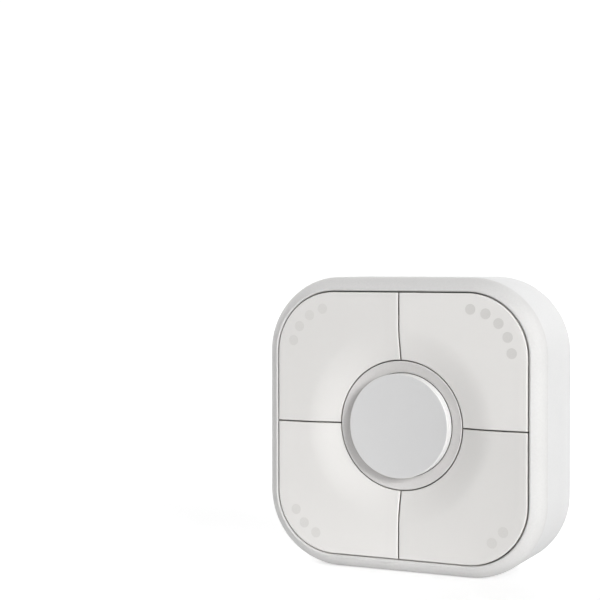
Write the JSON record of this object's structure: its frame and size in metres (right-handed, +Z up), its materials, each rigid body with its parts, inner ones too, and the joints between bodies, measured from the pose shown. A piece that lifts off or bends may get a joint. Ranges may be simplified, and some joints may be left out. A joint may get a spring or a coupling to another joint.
{
  "type": "scene controller",
  "caption": "Square battery scene controller with large round corners: dished quarter keys around a raised round centre button, radio board inside, magnetic wall plate on the back.",
  "frame": {"origin": "middle of the bottom edge that the controller stands on, half way through its depth", "axes": "+X to the right seen from the front, +Y from the keys to the wall, +Z up"},
  "size_m": [0.08, 0.0266, 0.08],
  "materials": {
    "frame_plastic": "fine sandy texture, matt, pale grey-white",
    "shell_plastic": "smooth satin white",
    "key_plastic": "smooth matt warm white with flush grey round count dots",
    "button_silver": "satin silver-grey paint",
    "deck_plastic": "plain moulded, dark",
    "circuit_board": "green solder mask",
    "switch_plastic": "plain moulded black",
    "plunger_plastic": "plain moulded",
    "shield_tin": "tinned sheet",
    "cell_sleeve": null,
    "spring_steel": "nickel-plated sheet",
    "screw_steel": "zinc-plated",
    "magnet_nickel": "nickel-plated"
  },
  "bodies": {
    "housing": {"front_bezel": "frame_plastic", "centre_ring": "frame_plastic", "rear_shell": "shell_plastic", "key_deck": "deck_plastic", "main_board": "circuit_board", "radio_module": "circuit_board", "radio_shield": "shield_tin", "battery_cell_upper": "cell_sleeve", "battery_cell_lower": "cell_sleeve", "contact_positive": "spring_steel", "contact_negative": "spring_steel", "contact_bridge": "spring_steel", "deck_screws": "screw_steel", "magnets": "magnet_nickel", "switch_base_centre": "switch_plastic", "switch_base_upper_left": "switch_plastic", "switch_base_upper_right": "switch_plastic", "switch_base_lower_left": "switch_plastic", "switch_base_lower_right": "switch_plastic"},
    "key_upper_left": {"key_upper_left": "key_plastic", "switch_plunger_upper_left": "plunger_plastic"},
    "key_upper_right": {"key_upper_right": "key_plastic", "switch_plunger_upper_right": "plunger_plastic"},
    "key_lower_left": {"key_lower_left": "key_plastic", "switch_plunger_lower_left": "plunger_plastic"},
    "key_lower_right": {"key_lower_right": "key_plastic", "switch_plunger_lower_right": "plunger_plastic"},
    "centre_button": {"centre_button": "button_silver", "switch_plunger_centre": "plunger_plastic"},
    "wall_plate": {"wall_plate": "shell_plastic", "steel_keepers": "screw_steel"}
  },
  "joints": [
    {"name": "press_upper_left", "type": "slide", "parent": "housing", "child": "key_upper_left", "axis": [0, 1, 0], "range_m": [0, 0.0005], "stiffness_N_per_m": 2000, "springref_m": -0.0003},
    {"name": "press_upper_right", "type": "slide", "parent": "housing", "child": "key_upper_right", "axis": [0, 1, 0], "range_m": [0, 0.0005], "stiffness_N_per_m": 2000, "springref_m": -0.0003},
    {"name": "press_lower_left", "type": "slide", "parent": "housing", "child": "key_lower_left", "axis": [0, 1, 0], "range_m": [0, 0.0005], "stiffness_N_per_m": 2000, "springref_m": -0.0003},
    {"name": "press_lower_right", "type": "slide", "parent": "housing", "child": "key_lower_right", "axis": [0, 1, 0], "range_m": [0, 0.0005], "stiffness_N_per_m": 2000, "springref_m": -0.0003},
    {"name": "press_centre", "type": "slide", "parent": "housing", "child": "centre_button", "axis": [0, 1, 0], "range_m": [0, 0.0006], "stiffness_N_per_m": 2000, "springref_m": -0.0003},
    {"name": "wall_plate_off", "type": "slide", "parent": "housing", "child": "wall_plate", "axis": [0, 1, 0], "range_m": [0, 0.015]}
  ]
}
